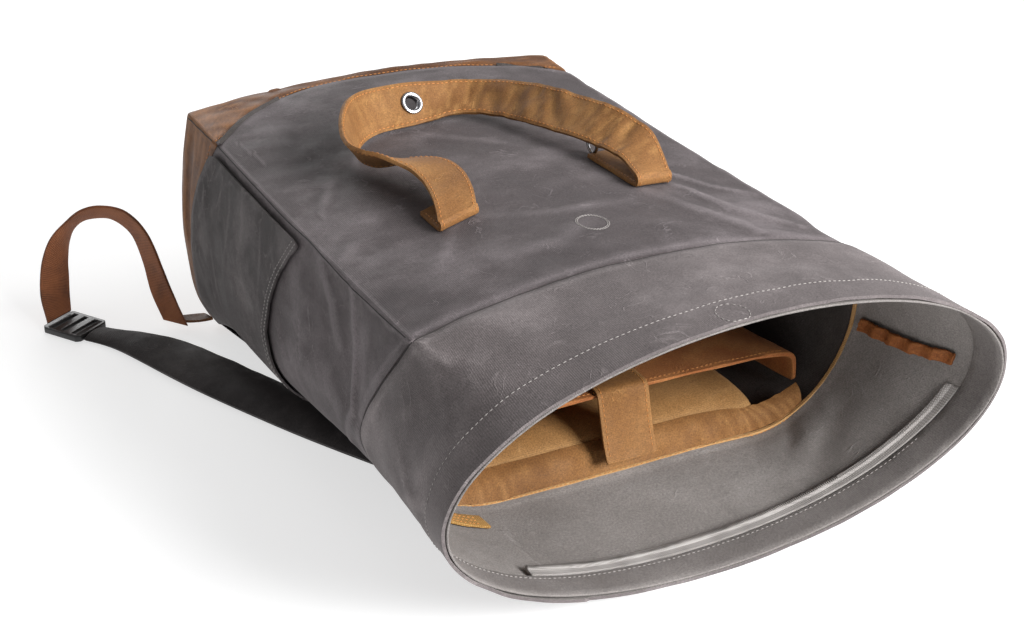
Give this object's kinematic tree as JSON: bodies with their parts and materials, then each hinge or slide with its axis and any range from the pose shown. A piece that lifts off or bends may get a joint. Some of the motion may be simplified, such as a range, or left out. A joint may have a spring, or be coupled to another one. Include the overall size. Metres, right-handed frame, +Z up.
{
  "type": "roll-top backpack",
  "caption": "Waxed-canvas roll-top backpack lying on its back with its collar open, with padded shoulder straps, a handle strap and an inner sleeve.",
  "frame": {"origin": "on the resting plane, under the middle of the bounding box", "axes": "X across the bag, +Y from the mouth towards the base, +Z up out of the front panel"},
  "size_m": [0.5316, 0.6012, 0.2186],
  "materials": {
    "grey_canvas": "waxed cotton canvas, matt",
    "collar_canvas": "waxed cotton canvas, matt and paler",
    "dark_canvas": "waxed cotton canvas, matt and darker",
    "brown_canvas": "waxed cotton canvas, slightly glossy",
    "tan_canvas": "tan cotton canvas, matt",
    "brown_webbing": "woven cotton webbing",
    "zip_grey": "nylon coil on woven tape",
    "silver_metal": "polished nickel plate",
    "black_metal": "black lacquered metal"
  },
  "bodies": {
    "root": {"base_cup": "brown_canvas", "body_shell": "grey_canvas", "collar": "collar_canvas", "mouth_facing": "collar_canvas", "collar_zip": "zip_grey", "side_pocket_left": "dark_canvas", "side_pocket_right": "dark_canvas", "seam_binding": "tan_canvas", "side_binding_left": "tan_canvas", "side_binding_right": "tan_canvas", "sleeve_back": "tan_canvas", "sleeve_front": "tan_canvas", "sleeve_tab": "tan_canvas", "inner_tab": "tan_canvas", "handle_strap": "tan_canvas", "eyelet": "silver_metal", "strap_ring": "silver_metal", "shoulder_strap_left": "dark_canvas", "shoulder_strap_right": "dark_canvas", "buckle_left": "black_metal", "buckle_right": "black_metal", "webbing_left": "brown_webbing", "webbing_right": "brown_webbing", "base_tab_left": "brown_canvas", "base_tab_right": "brown_canvas"}
  },
  "joints": []
}
